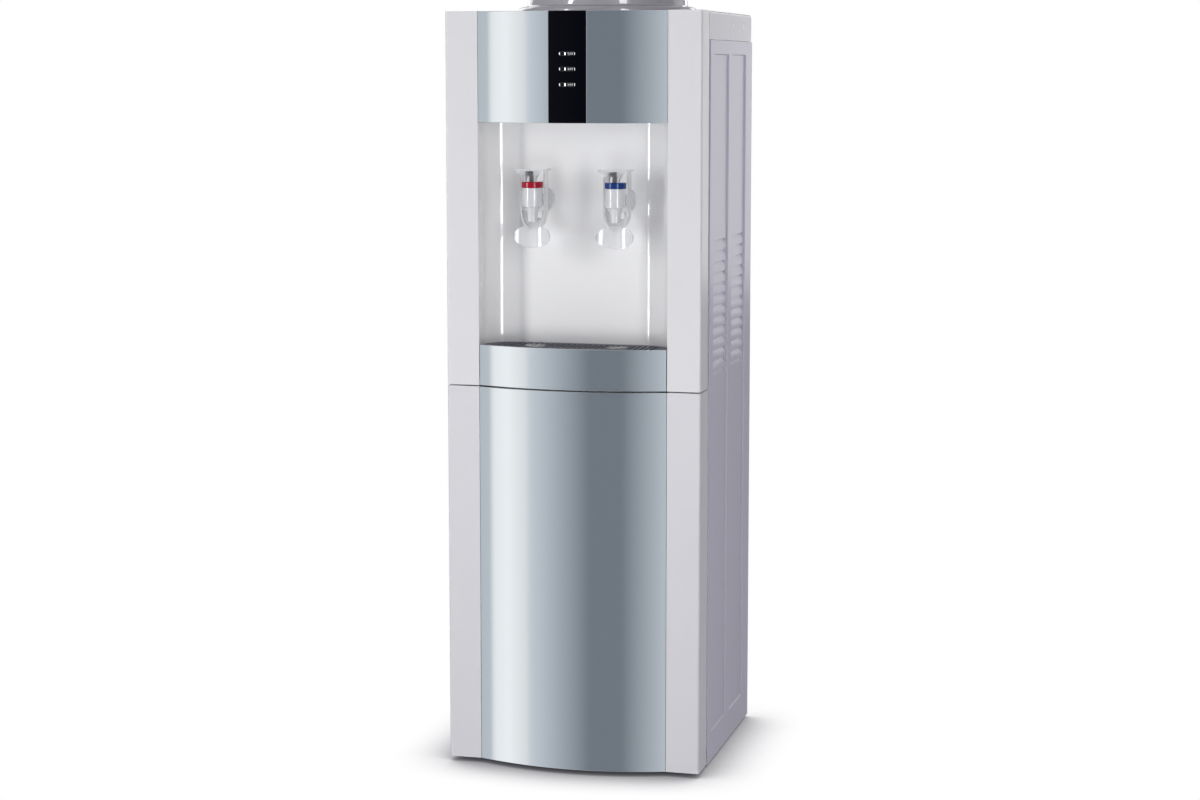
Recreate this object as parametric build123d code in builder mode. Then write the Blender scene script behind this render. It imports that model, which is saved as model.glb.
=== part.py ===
from build123d import *
import math
import os

os.makedirs("parts", exist_ok=True)

# ---------------------------------------------------------------- dimensions
# Free-standing top-loading water cooler.  Millimetres, +Z up, floor at z = 0,
# the front faces -Y, the origin is under the middle of the outline.
HW = 161.5          # half the body width
YF = -141.7         # front plane of the pillars
YB = 163.3          # rear edge of the side panels
PX = 119.75         # inner edge of the pillars
BULGE = 21.6        # how far the bowed silver panels stand in front of the pillars
H_BODY = 942.0      # top of the plastic body
H_TOP = 960.0       # top of the bottle collar ring
T = 2.5             # moulded wall thickness
EDGE_R = 3.0        # front outer edge of the pillars

SEAM_LO = 480.4     # top of the door
SEAM_HI = 482.0     # bottom of the upper front frame
Y_UF = -102.7       # rear edge of the upper front frame
Y_DR = -96.7        # rear face of the door
Z_DOOR = 6.5        # bottom of the door
HINGE_X, HINGE_Y = 151.5, -106.0
PIN_R, BORE_R = 3.0, 3.06

FASCIA_Z = 806.8    # lower edge of the control fascia
TRAY_Z0, TRAY_Z1 = 483.2, 532.7
TRAY_FRONT_HW = 118.9
ALC_REAR = -86.0    # alcove rear wall
ALC_FLAT = 81.6     # half width of its flat middle, before the slanted sides
ALC_TURN = math.radians(22.0)
TAP_X, TAP_Y = 52.6, -133.7
TAP_Z = 711.0       # height of the inlet tube
BONNET_Z = 734.9    # top of the bonnet
LEVER_PIN_Z = 744.5 # lever pivot
WELL_Y = 30.3       # centre of the bottle collar

R_B = (PX ** 2 + BULGE ** 2) / (2 * BULGE)   # radius of the bowed panels in plan
YC = YF - BULGE + R_B                        # centre of that arc

SUB = Mode.SUBTRACT


# ---------------------------------------------------------------- helpers
def slab(x0, x1, y0, y1, z0, z1, mode=Mode.ADD):
    """Box between two corners, added to the current part."""
    with Locations(((x0 + x1) / 2, (y0 + y1) / 2, (z0 + z1) / 2)):
        Box(x1 - x0, y1 - y0, z1 - z0, mode=mode)


def rod(x, y, z0, z1, r, mode=Mode.ADD):
    """Upright cylinder."""
    with Locations((x, y, (z0 + z1) / 2)):
        Cylinder(r, z1 - z0, mode=mode)


def rod_y(x, z, y0, y1, r, mode=Mode.ADD):
    """Cylinder along Y."""
    with Locations((x, (y0 + y1) / 2, z)):
        Cylinder(r, y1 - y0, rotation=(90, 0, 0), mode=mode)


def rod_x(y, z, x0, x1, r, mode=Mode.ADD):
    """Cylinder along X."""
    with Locations(((x0 + x1) / 2, y, z)):
        Cylinder(r, x1 - x0, rotation=(0, 90, 0), mode=mode)


def front_plane(x, y):
    """Plane facing the front, with its own x along X and its own y along Z."""
    return Plane(origin=(x, y, 0), x_dir=(1, 0, 0), z_dir=(0, -1, 0))


def lathe_face(points, x=0.0, y=0.0):
    """Half profile (radius, height) on an upright axis through x, y."""
    with BuildSketch(front_plane(x, y)) as s:
        with BuildLine():
            Polyline(*points, close=True)
        make_face()
    return s.sketch


def upright(x, y):
    return Axis((x, y, 0), (0, 0, 1))


def bow(r, x):
    """Y of the bowed front at x, for an arc of radius r about its centre."""
    return YC - math.sqrt(r * r - x * x)


def bow_face(r, hw, y_back, z):
    """Plan of a body with a bowed front and a straight back."""
    with BuildSketch(Plane.XY.offset(z)) as s:
        with BuildLine():
            ThreePointArc((-hw, bow(r, hw)), (0, YC - r), (hw, bow(r, hw)))
            Polyline((hw, bow(r, hw)), (hw, y_back), (-hw, y_back), (-hw, bow(r, hw)))
        make_face()
    return s.sketch


def band_face(r1, r2, hw, z):
    """Plan of a bowed skin between two radii."""
    with BuildSketch(Plane.XY.offset(z)) as s:
        with BuildLine():
            ThreePointArc((-hw, bow(r1, hw)), (0, YC - r1), (hw, bow(r1, hw)))
            Line((hw, bow(r1, hw)), (hw, bow(r2, hw)))
            ThreePointArc((hw, bow(r2, hw)), (0, YC - r2), (-hw, bow(r2, hw)))
            Line((-hw, bow(r2, hw)), (-hw, bow(r1, hw)))
        make_face()
    return s.sketch


def niche_corners(d):
    """Right-hand corners of the alcove's plan, drawn in by d on all sides."""
    x1, y1 = ALC_FLAT - d * math.tan(ALC_TURN / 2), ALC_REAR - d
    x2 = PX - d
    return x1, y1, x2, y1 - (x2 - x1) * math.tan(ALC_TURN)


def niche_face(d, y_front, z):
    """Alcove plan: flat middle, slanted sides and rounded turns."""
    x1, y1, x2, y2 = niche_corners(d)
    with BuildSketch(Plane.XY.offset(z)) as s:
        with BuildLine():
            Polyline((-x2, y_front), (x2, y_front), (x2, y2), (x1, y1), (-x1, y1), (-x2, y2), close=True)
        make_face()
        fillet([v for v in s.vertices() if abs(v.Y - y1) < 0.01], 24.0 - d)
        fillet([v for v in s.vertices() if abs(v.Y - y2) < 0.01], 30.0 - d)
    return s.sketch


def tray_face(r, d, z):
    """Plan of the drip tray: bowed front, the alcove's outline behind."""
    x1, y1, x2, y2 = niche_corners(d)
    yf = bow(r, x2)
    with BuildSketch(Plane.XY.offset(z)) as s:
        with BuildLine():
            ThreePointArc((-x2, yf), (0, YC - r), (x2, yf))
            Polyline((x2, yf), (x2, y2), (x1, y1), (-x1, y1), (-x2, y2), (-x2, yf))
        make_face()
        fillet([v for v in s.vertices() if abs(v.Y - y1) < 0.01], 24.0 - d)
        fillet([v for v in s.vertices() if abs(v.Y - y2) < 0.01], 30.0 - d)
    return s.sketch


def tube_solid(points, radii, r_out, r_in=0.0):
    """Pipe along straight runs joined by tangent arcs, as its own part."""
    with BuildPart(mode=Mode.PRIVATE) as pipe:
        with BuildLine() as route:
            FilletPolyline(*points, radius=radii)
        with BuildSketch(Plane(origin=route.line @ 0, z_dir=route.line % 0)):
            Circle(r_out)
            if r_in > 0:
                Circle(r_in, mode=SUB)
        sweep()
    return pipe.part


def keep(builder, name):
    builder.part.label = name
    export_step(builder.part, "parts/" + name + ".step")


# ---------------------------------------------------------------- front, upper half
# One moulding: two hollow flat pillars, the plate behind the control fascia,
# the top strip and the rail under the drip tray.
with BuildPart() as upper_front_frame:
    with BuildSketch(Plane.XY.offset(SEAM_HI)) as sk:
        with Locations(((PX + HW) / 2, (YF + Y_UF) / 2)):
            Rectangle(HW - PX, Y_UF - YF)
        fillet(sk.vertices().sort_by(Axis.X)[-2:].sort_by(Axis.Y)[0], EDGE_R)
    extrude(amount=H_BODY - SEAM_HI)
    slab(PX + T, HW - T, YF + T, Y_UF + 1, SEAM_HI + T, H_BODY - T, SUB)
    slab(PX - 1, PX + T + 0.1, YF + T, Y_UF + 1, 485.8, 815.4, SUB)
    mirror(about=Plane.YZ)
    slab(-PX - 0.5, PX + 0.5, -132.0, -129.5, FASCIA_Z, H_BODY)
    slab(-PX - 0.5, PX + 0.5, -132.0, Y_UF, H_BODY - T, H_BODY)
    slab(-PX - 0.5, PX + 0.5, -130.0, Y_UF, SEAM_HI, SEAM_HI + T)
    rod(HINGE_X, HINGE_Y, SEAM_HI - 1, SEAM_HI + T + 1, PIN_R + 0.1, SUB)
keep(upper_front_frame, "upper_front_frame")

# Glossy white alcove: rear wall with slanted sides, ceiling, and below them
# the pocket that holds the drip tray.
with BuildPart() as alcove:
    extrude(niche_face(-2.4, YF + T + 0.2, 486.0), amount=815.0 - 486.0)
    extrude(niche_face(0, YF - 8, 488.4), amount=812.6 - 488.4, mode=SUB)
    slab(-130, 130, YF, -129.3, 806.2, 816, SUB)
    for sx in (-1, 1):
        rod_y(sx * TAP_X, TAP_Z, ALC_REAR - 7, ALC_REAR + 12, 7.2, SUB)
keep(alcove, "alcove")

# Bowed silver control fascia with a sunk band for the dark strip.
with BuildPart() as control_fascia:
    extrude(bow_face(R_B, PX - 0.3, -132.1, FASCIA_Z), amount=H_BODY - 0.6 - FASCIA_Z)
    extrude(bow_face(R_B - T, PX - 0.3 - T, -130, FASCIA_Z + T), amount=H_BODY - 0.6 - FASCIA_Z - 2 * T, mode=SUB)
    extrude(band_face(R_B - 2.3, R_B - 4.6, 28, FASCIA_Z), amount=H_BODY - 0.6 - FASCIA_Z)
    extrude(band_face(R_B + 2, R_B - 2.2, 23.6, FASCIA_Z - 1), amount=H_BODY + 2 - FASCIA_Z, mode=SUB)
    slab(-16, 16, -170, -150, 845, 898, SUB)
keep(control_fascia, "control_fascia")

WINDOWS = (890.0, 871.7, 853.0)
with BuildPart() as indicator_strip:
    extrude(band_face(R_B, R_B - 2.1, 23.25, FASCIA_Z), amount=H_BODY - 0.6 - FASCIA_Z)
    with BuildSketch(front_plane(0, -155)):
        with Locations(*[(0, z) for z in WINDOWS]):
            SlotOverall(22.0, 4.8)
    extrude(amount=12, mode=SUB)
keep(indicator_strip, "indicator_strip")

with BuildPart() as indicator_lenses:
    with BuildSketch(front_plane(0, -160.6)):
        with Locations(*[(0, z) for z in WINDOWS]):
            SlotOverall(21.8, 4.6)
    extrude(amount=2.4)
keep(indicator_lenses, "indicator_lenses")

# Small circuit board behind the strip, with one light under each window.
with BuildPart() as led_board:
    slab(-27, 27, -157.4, -155.8, 838, 905)
    for z in WINDOWS:
        for x in (-6, 0, 6):
            rod_y(x, z, -160.4, -157.4, 1.5)
keep(led_board, "led_board")

# ---------------------------------------------------------------- drip tray
with BuildPart() as drip_tray:
    extrude(tray_face(R_B - 2.6, 1.5, 489.0), amount=531.6 - 489.0)
    extrude(tray_face(R_B - 4.8, 3.7, 528.4), amount=5, mode=SUB)
    extrude(tray_face(R_B - 7.0, 5.9, 491.2), amount=40, mode=SUB)
keep(drip_tray, "drip_tray")

with BuildPart() as tray_fascia:
    extrude(band_face(R_B, R_B - T, TRAY_FRONT_HW, TRAY_Z0), amount=TRAY_Z1 - TRAY_Z0)
keep(tray_fascia, "tray_fascia")

with BuildPart() as drip_grille:
    extrude(tray_face(R_B - 5.1, 4.0, 528.6), amount=3.2)
    slots = [x for x in [-98 + 7 * i for i in range(29)] if abs(abs(x) - TAP_X) > 15.5]
    with BuildSketch(Plane.XY.offset(527)):
        with Locations(*[(x, -120.5) for x in slots]):
            SlotOverall(38, 3.0, rotation=90)
        with Locations((-TAP_X, -106.0), (TAP_X, -106.0)):
            with GridLocations(7, 0, 4, 1):
                SlotOverall(9, 3.0, rotation=90)
    extrude(amount=8, mode=SUB)
    with BuildSketch(Plane.XY.offset(531.7)):
        with Locations((-TAP_X, -125.0), (TAP_X, -125.0)):
            Circle(11.8)
            Circle(9.6, mode=SUB)
    extrude(amount=0.9)
    with BuildSketch(Plane.XY.offset(527)):
        with Locations((-TAP_X, -125.0), (TAP_X, -125.0)):
            Circle(1.9)
            with PolarLocations(5.9, 8):
                Circle(1.5)
    extrude(amount=8, mode=SUB)
keep(drip_grille, "drip_grille")

# ---------------------------------------------------------------- taps
for side, tx in (("hot", -TAP_X), ("cold", TAP_X)):
    # body: chamber, seat, nozzle, inlet tube, wall flange and threaded shank
    with BuildPart() as tap_body:
        revolve(lathe_face([(0, 685.7), (6.0, 685.7), (6.7, 695), (8.35, 703.6), (11.9, 704.1), (12.65, 705.1),
                            (12.65, 727.2), (11.2, 727.4), (11.2, 733.0), (0, 733.0)], tx, TAP_Y), axis=upright(tx, TAP_Y))
        rod_y(tx, TAP_Z, TAP_Y, ALC_REAR + 10.7, 7.0)
        rod_y(tx, TAP_Z, ALC_REAR - 4.9, ALC_REAR - 0.05, 15.5)
        revolve(lathe_face([(0, 680), (4.2, 680), (4.2, 685.7), (5.4, 700.0), (4.0, 701.0), (4.0, 704.6),
                            (9.0, 704.6), (9.0, 740), (0, 740)], tx, TAP_Y), axis=upright(tx, TAP_Y), mode=SUB)
        rod_y(tx, TAP_Z, TAP_Y, ALC_REAR + 12.7, 3.4, SUB)
    keep(tap_body, side + "_tap_body")

    # coloured screw cap on the body
    with BuildPart() as tap_bonnet:
        revolve(lathe_face([(11.3, 727.5), (13.4, 727.5), (13.4, 734.2), (12.7, BONNET_Z), (3.76, BONNET_Z), (3.76, 733.2), (11.3, 733.2)],
                           tx, TAP_Y), axis=upright(tx, TAP_Y))
    keep(tap_bonnet, side + "_tap_bonnet")

    # stem with its moulded rubber seal, spring flange and cross trunnions
    with BuildPart() as tap_stem:
        revolve(lathe_face([(0, 704.7), (4.4, 704.7), (7.8, 708.0), (7.8, 714.2), (3.7, 714.2), (3.7, LEVER_PIN_Z), (0, LEVER_PIN_Z)],
                           tx, TAP_Y), axis=upright(tx, TAP_Y))
        rod_x(TAP_Y, LEVER_PIN_Z, tx - 4.4, tx + 4.4, 3.2)
        rod_x(TAP_Y, LEVER_PIN_Z, tx - 8.4, tx + 8.4, 1.8)
    keep(tap_stem, side + "_tap_stem")

    # return spring between the stem flange and the inside of the bonnet
    with BuildPart() as tap_spring:
        with BuildLine() as coil:
            Helix(pitch=3.4, height=17.0, radius=5.2, center=(tx, TAP_Y, 715.1))
        with BuildSketch(Plane(origin=coil.line @ 0, z_dir=coil.line % 0)):
            Circle(0.55)
        sweep(is_frenet=True)
    keep(tap_spring, side + "_tap_spring")

    # lever: top plate, V-shaped front lip, two cam ears on the trunnions,
    # a U-shaped yoke round the body and the oval cup paddle
    with BuildPart() as paddle:
        with BuildSketch(Plane.XY.offset(650)):
            with Locations((tx, TAP_Y + 5 - 42)):
                Circle(42.0)
                Circle(39.8, mode=SUB)
        extrude(amount=40)
        with BuildSketch(front_plane(tx, TAP_Y + 12)):
            with Locations((0, 667.5)):
                Ellipse(23.5, 14.0)
        extrude(amount=24, mode=Mode.INTERSECT)
    with BuildPart() as tap_lever:
        with BuildSketch(front_plane(tx, TAP_Y + 17)):
            with Locations((0, 700)):
                Ellipse(15.7, 25.4)
                Rectangle(31.4, 50.4, align=(Align.CENTER, Align.MIN))
            with Locations((0, 700)):
                Ellipse(13.8, 22.6, mode=SUB)
                Rectangle(27.6, 48.2, align=(Align.CENTER, Align.MIN), mode=SUB)
        extrude(amount=16)
        with BuildSketch(front_plane(tx, TAP_Y + 11.3)):
            with Locations((0, 700)):
                Ellipse(15.5, 25.2)
            with Locations((0, 699)):
                Rectangle(40, 60, align=(Align.CENTER, Align.MIN), mode=SUB)
            with Locations((0, 690)):
                Rectangle(18.4, 60, align=(Align.CENTER, Align.MIN), mode=SUB)
        extrude(amount=1.8)
        slab(tx - 18.5, tx + 18.5, TAP_Y - 13.5, TAP_Y + 17, 748.2, 750.5)
        with BuildSketch(front_plane(tx, TAP_Y - 11.6)):
            with BuildLine():
                Polyline((-18.5, 750.5), (18.5, 750.5), (18.5, 748.4), (8.2, 741.9), (5.2, 741.9), (5.2, 748.0), (-5.2, 748.0),
                         (-5.2, 741.9), (-8.2, 741.9), (-18.5, 748.4), close=True)
            make_face()
        extrude(amount=1.9)
        for x0 in (tx - 7.6, tx + 5.2):
            with BuildSketch(Plane.YZ.offset(x0)):
                with BuildLine():
                    Polyline((TAP_Y - 11.7, 748.6), (TAP_Y + 4.5, 748.6), (TAP_Y + 4.5, 743.0), (TAP_Y + 1.5, 741.2),
                             (TAP_Y - 5.0, 738.6), (TAP_Y - 8.0, 735.2), (TAP_Y - 11.0, 735.2), (TAP_Y - 11.7, 736.2), close=True)
                make_face()
                with Locations((TAP_Y, LEVER_PIN_Z)):
                    Circle(1.85, mode=SUB)
            extrude(amount=2.4)
        add(paddle.part)
    keep(tap_lever, side + "_tap_lever")

with BuildPart() as tap_nuts:
    with BuildSketch(front_plane(0, ALC_REAR + 9.4)):
        with Locations((-TAP_X, TAP_Z), (TAP_X, TAP_Z)):
            RegularPolygon(13.0, 6)
            Circle(7.05, mode=SUB)
    extrude(amount=6.9)
keep(tap_nuts, "tap_nuts")

# ---------------------------------------------------------------- door
with BuildPart() as door_frame:
    with BuildSketch(Plane.XY.offset(Z_DOOR)) as sk:
        with Locations(((PX + HW) / 2, (YF - 100.7) / 2)):
            Rectangle(HW - PX, -100.7 - YF)
        fillet(sk.vertices().sort_by(Axis.X)[-2:].sort_by(Axis.Y)[0], EDGE_R)
    extrude(amount=SEAM_LO - Z_DOOR)
    slab(PX + T, HW - T, YF + T, -100, Z_DOOR + T, SEAM_LO - T, SUB)
    mirror(about=Plane.YZ)
    slab(-PX - 0.5, PX + 0.5, -132.2, -129.7, Z_DOOR, SEAM_LO)
    slab(-PX - 0.5, PX + 0.5, -132.2, -100.7, SEAM_LO - T, SEAM_LO)
    slab(-PX - 0.5, PX + 0.5, -132.2, -100.7, Z_DOOR, Z_DOOR + T)
    rod(HINGE_X, HINGE_Y, SEAM_LO - 15, SEAM_LO, 5.0)
    rod(HINGE_X, HINGE_Y, Z_DOOR, Z_DOOR + 15, 5.0)
    rod(HINGE_X, HINGE_Y, SEAM_LO - 13, SEAM_LO + 1, BORE_R, SUB)
    rod(HINGE_X, HINGE_Y, Z_DOOR - 1, Z_DOOR + 13, BORE_R, SUB)
keep(door_frame, "door_frame")

with BuildPart() as door_panel:
    extrude(bow_face(R_B, PX - 0.35, -132.3, Z_DOOR), amount=SEAM_LO - Z_DOOR)
    extrude(bow_face(R_B - T, PX - 0.35 - T, -130, Z_DOOR + T), amount=SEAM_LO - Z_DOOR - 2 * T, mode=SUB)
keep(door_panel, "door_panel")

with BuildPart() as door_liner:
    with BuildSketch(Plane.XY.offset(Z_DOOR)) as sk:
        with Locations((0, (Y_DR - 100.6) / 2)):
            Rectangle(2 * HW, Y_DR + 100.6)
        fillet(sk.vertices().group_by(Axis.Y)[-1], 3.8)
    extrude(amount=SEAM_LO - Z_DOOR)
    slab(-128, 128, Y_DR - 2.2, Y_DR + 1, 60, 440, SUB)
keep(door_liner, "door_liner")

with BuildPart() as door_gasket:
    slab(-149.5, 149.5, Y_DR, -91.8, 30, 468)
    slab(-139.5, 139.5, Y_DR - 1, -91, 40, 458, SUB)
keep(door_gasket, "door_gasket")

with BuildPart() as upper_hinge_pin:
    rod(HINGE_X, HINGE_Y, SEAM_LO - 12, SEAM_HI + T + 2, PIN_R)
    slab(143, 158.5, -113, -102.9, SEAM_HI + T, SEAM_HI + T + 2)
keep(upper_hinge_pin, "upper_hinge_pin")

with BuildPart() as lower_hinge_bracket:
    slab(140, 158, -112, -60, 3.0, 5.4)
    rod(HINGE_X, HINGE_Y, 3.0, Z_DOOR + 12, PIN_R)
keep(lower_hinge_bracket, "lower_hinge_bracket")

# ---------------------------------------------------------------- steel sides
X_OUT, X_FLD, SHEET = 161.2, 159.6, 0.9
FIELDS = ((-74.7, 18.3), (35.3, 124.3))
LOUVRES = ((-62.2, 6.3), (46.8, 116.0))
LOUVRE_Z = [660.6 - 13.66 * i for i in range(13)]
with BuildPart() as side_panel_right:
    slab(X_OUT - SHEET, X_OUT, -91.7, YB, 4.0, 907.0)
    slab(152.0, X_OUT - SHEET, -91.7, -90.8, 24.0, 907.0)
    slab(150.0, X_OUT - SHEET, YB - SHEET, YB, 24.0, 907.0)
    slab(150.0, X_OUT - SHEET, -55.0, YB - SHEET, 4.0, 4.9)
    slab(146.0, X_OUT - SHEET, -90.8, YB - SHEET, 906.1, 907.0)
    for y0, y1 in FIELDS:
        with BuildSketch(Plane.YZ.offset(X_FLD - SHEET)):
            with Locations(((y0 + y1) / 2, 465.5)):
                RectangleRounded(y1 - y0, 851.0, 6.0)
        extrude(amount=X_OUT - SHEET - (X_FLD - SHEET))
        with BuildSketch(Plane.YZ.offset(X_OUT)):
            with Locations(((y0 + y1) / 2, 465.5)):
                RectangleRounded(y1 - y0 - 1.4, 849.6, 5.3)
        extrude(amount=-(X_OUT - X_FLD), taper=40, mode=SUB)
    for y0, y1 in LOUVRES:
        with BuildSketch(front_plane(0, y1 + 0.9)):
            for z in LOUVRE_Z:
                with BuildLine():
                    Polyline((158.75, z - 8.0), (158.75, z), (156.5, z), (156.5, z - 0.9), close=True)
                make_face()
        extrude(amount=y1 - y0 + 1.8)
        with BuildSketch(front_plane(0, y1)):
            for z in LOUVRE_Z:
                with BuildLine():
                    Polyline((160.4, z - 7.0), (160.4, z + 0.001), (157.4, z + 0.001), (159.62, z - 7.0), close=True)
                make_face()
        extrude(amount=y1 - y0, mode=SUB)
keep(side_panel_right, "side_panel_right")

with BuildPart() as side_panel_left:
    mirror(side_panel_right.part, about=Plane.YZ)
keep(side_panel_left, "side_panel_left")

# ---------------------------------------------------------------- top
with BuildPart() as top_cover:
    with BuildSketch(Plane.XY.offset(907.4)) as sk:
        with Locations((0, (-101.2 + YB) / 2)):
            Rectangle(2 * HW, YB + 101.2)
        fillet(sk.vertices().group_by(Axis.Y)[-1], 9.0)
    extrude(amount=H_BODY - 907.4)
    fillet(top_cover.faces().sort_by(Axis.Z)[-1].edges().filter_by(lambda e: e.center().Y > -100), 4.0)
    with BuildSketch(Plane.XY.offset(907.0)) as sk:
        with Locations((0, (-101.2 + YB) / 2)):
            Rectangle(2 * (HW - T), YB + 101.2 - 2 * T)
        fillet(sk.vertices().group_by(Axis.Y)[-1], 6.5)
    extrude(amount=H_BODY - T - 907.0, mode=SUB)
    rod(0, WELL_Y, 900, 950, 97.0, SUB)
keep(top_cover, "top_cover")

AXW = upright(0, WELL_Y)
with BuildPart() as bottle_collar:
    revolve(lathe_face([(84, 934), (96.6, 934), (96.6, 942.1), (114, 942.1), (114, 945.5), (112.5, 948), (109, 949.6), (103.5, 950.4),
                        (102, 951.6), (101.6, 957.6), (100.6, 959.4), (98.6, H_TOP), (93.4, H_TOP), (91.4, 959.4), (90.2, 957.6),
                        (90, 946), (84, 946)], 0, WELL_Y), axis=AXW)
keep(bottle_collar, "bottle_collar")

with BuildPart() as seat_funnel:
    revolve(lathe_face([(83.6, 946.1), (83.6, 943.6), (34, 914), (34, 853.5), (11.1, 853.5), (11.1, 856), (31.5, 856), (31.5, 915.4),
                        (79.5, 944.2), (82.5, 948.5), (89.6, 948.5), (89.6, 946.1)], 0, WELL_Y), axis=AXW)
keep(seat_funnel, "seat_funnel")

with BuildPart() as feed_probe:
    revolve(lathe_face([(8, 835), (10.8, 835), (10.8, 856.1), (18, 856.1), (18, 858.6), (11, 858.6), (11, 892), (8.5, 899), (4.5, 902.5),
                        (0, 903.5), (0, 900.5), (3.5, 899.5), (6.5, 896), (8, 891)], 0, WELL_Y), axis=AXW)
    for z in (866, 884):
        rod_x(WELL_Y, z, -15, 15, 3.0, SUB)
        rod_y(0, z, WELL_Y - 15, WELL_Y + 15, 3.0, SUB)
keep(feed_probe, "feed_probe")

# ---------------------------------------------------------------- cold side
COLD_OUT, FEED = (22.0, 20.0), (0.0, 40.0)
with BuildPart() as cold_tank:
    revolve(lathe_face([(14, 848.8), (14, 850), (66, 850), (66, 700), (0, 700), (0, 701.2), (64.8, 701.2), (64.8, 848.8)],
                       0, WELL_Y), axis=AXW)
    for p in (COLD_OUT, FEED):
        rod(p[0], p[1], 676, 700.5, 4.5)
    for p in (COLD_OUT, FEED):
        rod(p[0], p[1], 675, 702, 3.0, SUB)
keep(cold_tank, "cold_tank")

with BuildPart() as tank_baffle:
    rod(0, WELL_Y, 776, 778.5, 63.5)
    rod(FEED[0], FEED[1], 701.3, 777, 7.0)
    rod(FEED[0], FEED[1], 701.2, 780, 5.0, SUB)
keep(tank_baffle, "tank_baffle")

with BuildPart() as cold_tank_foam:
    revolve(lathe_face([(0, 684), (84, 684), (84, 848), (74, 848), (74, 699.9), (0, 699.9)], 0, WELL_Y), axis=AXW)
    for p in (COLD_OUT, FEED):
        rod(p[0], p[1], 680, 702, 5.5, SUB)
keep(cold_tank_foam, "cold_tank_foam")

with BuildPart() as evaporator_coil:
    for i in range(7):
        with Locations((0, WELL_Y, 720 + 18 * i)):
            Torus(69.0, 2.8)
    rod(0, WELL_Y + 69.0, 720, 860, 2.8)
    rod(-20, WELL_Y + 66.04, 828, 860, 1.8)
keep(evaporator_coil, "evaporator_coil")

with BuildPart() as upper_shelf:
    slab(-158, 158, -30, 118, 682, 684)
    slab(-158, -156.5, -30, 118, 668, 682)
    slab(156.5, 158, -30, 118, 668, 682)
    for p in (COLD_OUT, FEED):
        rod(p[0], p[1], 680, 686, 6.5, SUB)
keep(upper_shelf, "upper_shelf")

# ---------------------------------------------------------------- hot side
HOT_Y, HOT_OUT = 40.0, (-25.0, 45.0)
AXH = upright(0, HOT_Y)
with BuildPart() as hot_tank:
    revolve(lathe_face([(0, 522), (44, 522), (48, 526), (48, 636), (44, 640), (0, 640), (0, 639), (43.6, 639), (47, 635.6),
                        (47, 526.4), (43.6, 523), (0, 523)], 0, HOT_Y), axis=AXH)
    rod(0, HOT_Y, 639.5, 656, 4.5)
    rod(HOT_OUT[0], HOT_OUT[1], 639.5, 656, 4.5)
    rod(0, HOT_Y, 512, 522.5, 3.5)
    rod(0, HOT_Y, 638, 657, 3.0, SUB)
    rod(HOT_OUT[0], HOT_OUT[1], 638, 657, 3.0, SUB)
    rod(0, HOT_Y, 511, 524, 2.2, SUB)
keep(hot_tank, "hot_tank")

with BuildPart() as hot_tank_jacket:
    revolve(lathe_face([(0, 512), (62, 512), (62, 650), (0, 650), (0, 641), (50.5, 641), (50.5, 521.9), (0, 521.9)], 0, HOT_Y), axis=AXH)
    rod(0, HOT_Y, 640, 652, 5.5, SUB)
    rod(HOT_OUT[0], HOT_OUT[1], 640, 652, 5.5, SUB)
    rod(0, HOT_Y, 510, 523, 4.5, SUB)
    for x in (-1, 1):
        rod(x * 14 + 14, 66, 640, 652, 8.5, SUB)
keep(hot_tank_jacket, "hot_tank_jacket")

with BuildPart() as heater_band:
    revolve(lathe_face([(48.1, 545), (49.8, 545), (49.8, 600), (48.1, 600)], 0, HOT_Y), axis=AXH)
keep(heater_band, "heater_band")

with BuildPart() as thermostats:
    for x in (0, 28):
        rod(x, 66, 640.05, 648, 8.0)
        rod(x, 66, 648, 654, 5.0)
keep(thermostats, "thermostats")

with BuildPart() as mid_deck:
    slab(-158, 158, -68, 118, 486, 488)
    slab(-158, 158, -68, -66.5, 472, 486)
    slab(-158, 158, 116.5, 118, 472, 486)
    for x in (-36, 36):
        for y in (HOT_Y - 36, HOT_Y + 36):
            rod(x, y, 488, 511.95, 6.0)
keep(mid_deck, "mid_deck")

# hoses: hot, cold, tank-to-tank feed and drain
with BuildPart() as water_hoses:
    add(tube_solid([(-TAP_X, ALC_REAR + 10.8, TAP_Z), (-TAP_X, -47, TAP_Z), (-TAP_X, -47, 668), (HOT_OUT[0], HOT_OUT[1], 668), (HOT_OUT[0], HOT_OUT[1], 656.1)],
                   [6.5, 12, 5.2], 4.5, 3.0))
    add(tube_solid([(TAP_X, ALC_REAR + 10.8, TAP_Z), (TAP_X, -47, TAP_Z), (TAP_X, -47, 664), (COLD_OUT[0], COLD_OUT[1], 664), (COLD_OUT[0], COLD_OUT[1], 675.9)],
                   [6.5, 12, 5.2], 4.5, 3.0))
    rod(FEED[0], FEED[1], 656.1, 675.9, 4.5)
    rod(FEED[0], FEED[1], 650, 680, 3.0, SUB)
    add(tube_solid([(0, HOT_Y, 511.9), (0, HOT_Y, 500), (0, 117.9, 500)], [5.0], 3.5, 2.2))
keep(water_hoses, "water_hoses")

with BuildPart() as drain_spout:
    rod_y(0, 500, 118, 150, 7.0)
    rod_y(0, 500, 135.1, 137.6, 13.0)
    rod_y(0, 500, 117, 151, 3.0, SUB)
keep(drain_spout, "drain_spout")

with BuildPart() as drain_cap:
    rod_y(0, 500, 139, 153.5, 10.0)
    rod_y(0, 500, 138, 150.3, 7.06, SUB)
keep(drain_cap, "drain_cap")

# ---------------------------------------------------------------- cabinet, base, cooling plant
with BuildPart() as cabinet_liner:
    slab(-151.5, 151.5, -91.7, -89.7, 24, 478)
    slab(-139, 139, -89.7, 24, 38, 205)
    slab(-139, 139, -89.7, 110, 203, 458)
    slab(-137, 137, -93, 22, 40, 456, SUB)
    slab(-137, 137, -93, 108, 205, 456, SUB)
keep(cabinet_liner, "cabinet_liner")

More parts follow.
